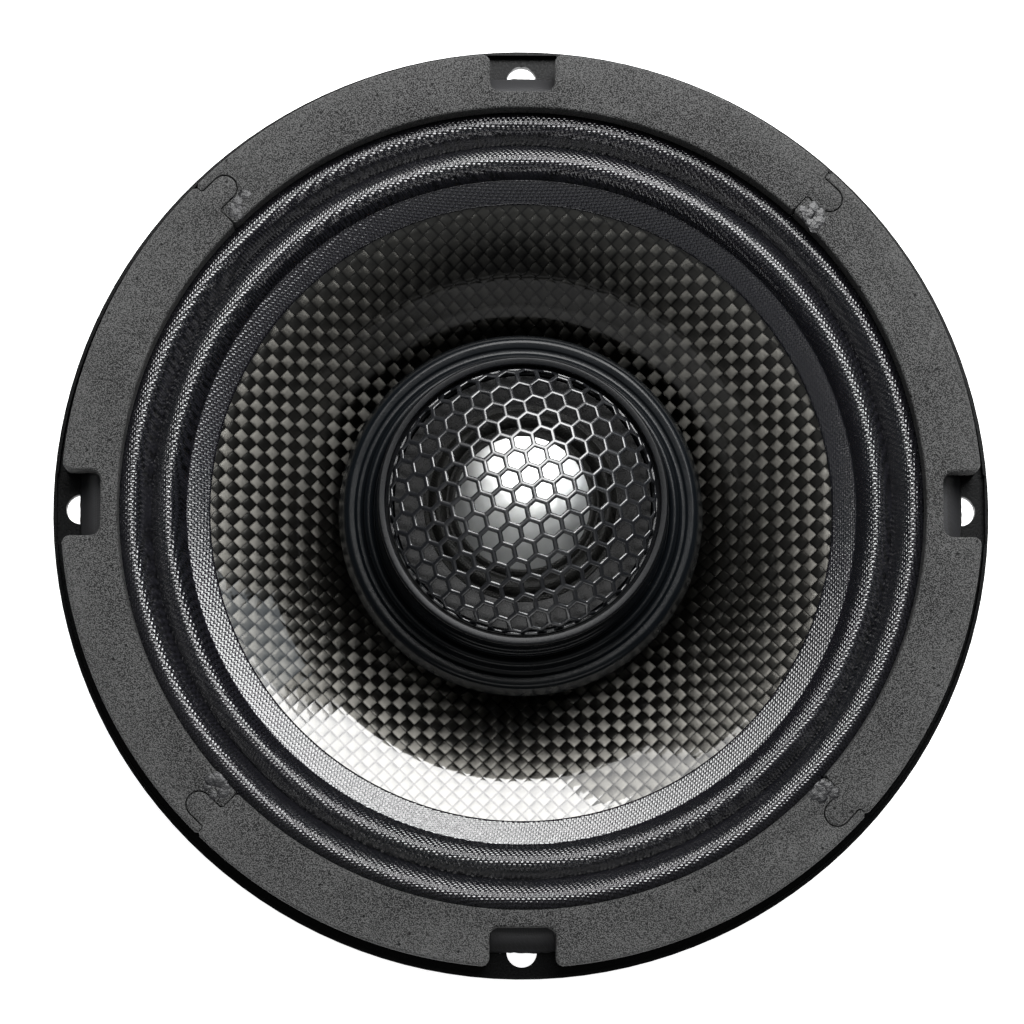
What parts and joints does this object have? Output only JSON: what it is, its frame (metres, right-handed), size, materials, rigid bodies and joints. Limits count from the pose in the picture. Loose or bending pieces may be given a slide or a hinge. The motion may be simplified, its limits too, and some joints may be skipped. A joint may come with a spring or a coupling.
{
  "type": "coaxial car speaker",
  "caption": "Round coaxial car speaker: woven carbon cone on a cloth surround, dome tweeter under a domed mesh on a fixed plinth, foam-faced cast basket and booted magnet.",
  "frame": {"origin": "centre of the mounting holes' bolt circle, in the rear face of the mounting flange", "axes": "+Z along the speaker's axis, out of its front towards the listener; +X to the right and +Y up as seen from the front; the terminals are on the -Y side"},
  "size_m": [0.165, 0.165, 0.0902],
  "materials": {
    "basket_coating": "satin black powder coat on cast aluminium",
    "foam": "dark grey closed-cell foam, fine open grain",
    "doped_cloth": "black doped woven cloth, sparkling gloss on the threads",
    "carbon_weave": "plain-weave carbon fibre under clear resin",
    "coil_former": "amber polyimide film",
    "copper_wire": "varnished copper wire",
    "eyelet_brass": "bright brass",
    "spider_cloth": "resin-stiffened woven cotton",
    "tinsel_braid": "silver tinsel braid",
    "plated_steel": "zinc-plated steel",
    "ferrite": "matt sintered ferrite",
    "boot_rubber": "soft matt black rubber",
    "black_screw": "black-oxide steel",
    "board_fibre": "black phenolic fibre board",
    "brass_blade": "bright brass",
    "tin_blade": "tin plate",
    "capacitor_sleeve": "shrunk plastic sleeve",
    "glue_pad": "set elastic glue",
    "red_insulation": "red plastic insulation",
    "dark_insulation": "black plastic insulation",
    "plinth_plastic": "satin black moulded plastic",
    "neodymium": "nickel plate",
    "felt": "grey felt",
    "faceplate_plastic": "speckled satin grey plastic",
    "suspension_cloth": "black impregnated cloth",
    "bright_dome": "polished metal foil",
    "black_mesh": "satin black paint on perforated steel",
    "ring_paint": "speckled satin black paint"
  },
  "bodies": {
    "frame": {"basket": "basket_coating", "gasket_right": "foam", "gasket_top": "foam", "gasket_left": "foam", "gasket_bottom": "foam", "surround": "doped_cloth", "spider": "spider_cloth", "tinsel_leads": "tinsel_braid", "top_plate": "plated_steel", "ferrite_magnet": "ferrite", "pole_yoke": "plated_steel", "magnet_boot": "boot_rubber", "plate_screws": "black_screw", "terminal_board": "board_fibre", "positive_terminal": "brass_blade", "negative_terminal": "tin_blade", "terminal_rivets": "plated_steel", "board_rivets": "plated_steel", "crossover_capacitor": "capacitor_sleeve", "capacitor_saddle": "glue_pad", "capacitor_lead": "red_insulation", "tweeter_leads": "dark_insulation", "hollow_stud": "plated_steel", "rear_nut": "plated_steel", "plinth_nut": "plated_steel", "plinth_post": "plinth_plastic", "tweeter_plinth": "plinth_plastic", "tweeter_housing": "plinth_plastic", "tweeter_yoke": "plated_steel", "tweeter_magnet": "neodymium", "tweeter_pole_disc": "plated_steel", "tweeter_damping_pad": "felt", "tweeter_faceplate": "faceplate_plastic", "tweeter_suspension": "suspension_cloth", "grille_mesh": "black_mesh", "grille_ring": "ring_paint"},
    "cone_assembly": {"cone": "carbon_weave", "voice_coil_former": "coil_former", "voice_coil_winding": "copper_wire", "lead_eyelets": "eyelet_brass"},
    "tweeter_diaphragm": {"tweeter_dome": "bright_dome", "tweeter_coil": "copper_wire"}
  },
  "joints": [
    {"name": "cone_travel", "type": "slide", "parent": "frame", "child": "cone_assembly", "axis": [0, 0, 1], "range_m": [-0.0045, 0.0045], "stiffness_N_per_m": 3000, "deforming": ["surround", "spider", "tinsel_leads"]},
    {"name": "dome_travel", "type": "slide", "parent": "frame", "child": "tweeter_diaphragm", "axis": [0, 0, 1], "range_m": [-0.0005, 0.0005], "stiffness_N_per_m": 400, "deforming": ["tweeter_suspension"]}
  ]
}
